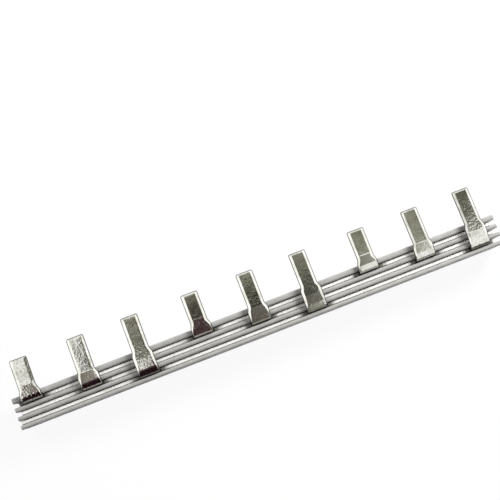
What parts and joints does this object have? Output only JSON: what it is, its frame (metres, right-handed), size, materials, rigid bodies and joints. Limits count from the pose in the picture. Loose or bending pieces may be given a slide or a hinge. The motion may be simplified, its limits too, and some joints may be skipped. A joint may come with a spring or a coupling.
{
  "type": "comb busbar",
  "caption": "Comb busbar: stamped, tinned combs stand in the channels of an open grey insulating profile; their bent pins reach over its front wall and end on one line.",
  "frame": {"origin": "middle of the profile's back face, the face that it lies on", "axes": "+X along the bar, +Y the way the pins point, +Z out of the profile's open side"},
  "size_m": [0.1544, 0.0199, 0.014],
  "materials": {
    "rigid_pvc": "extruded, matte grey",
    "tinned_copper": "bright tin plating over stamped copper"
  },
  "bodies": {
    "root": {"insulating_profile": "rigid_pvc", "comb_l1": "tinned_copper", "comb_l2": "tinned_copper", "comb_l3": "tinned_copper"}
  },
  "joints": []
}
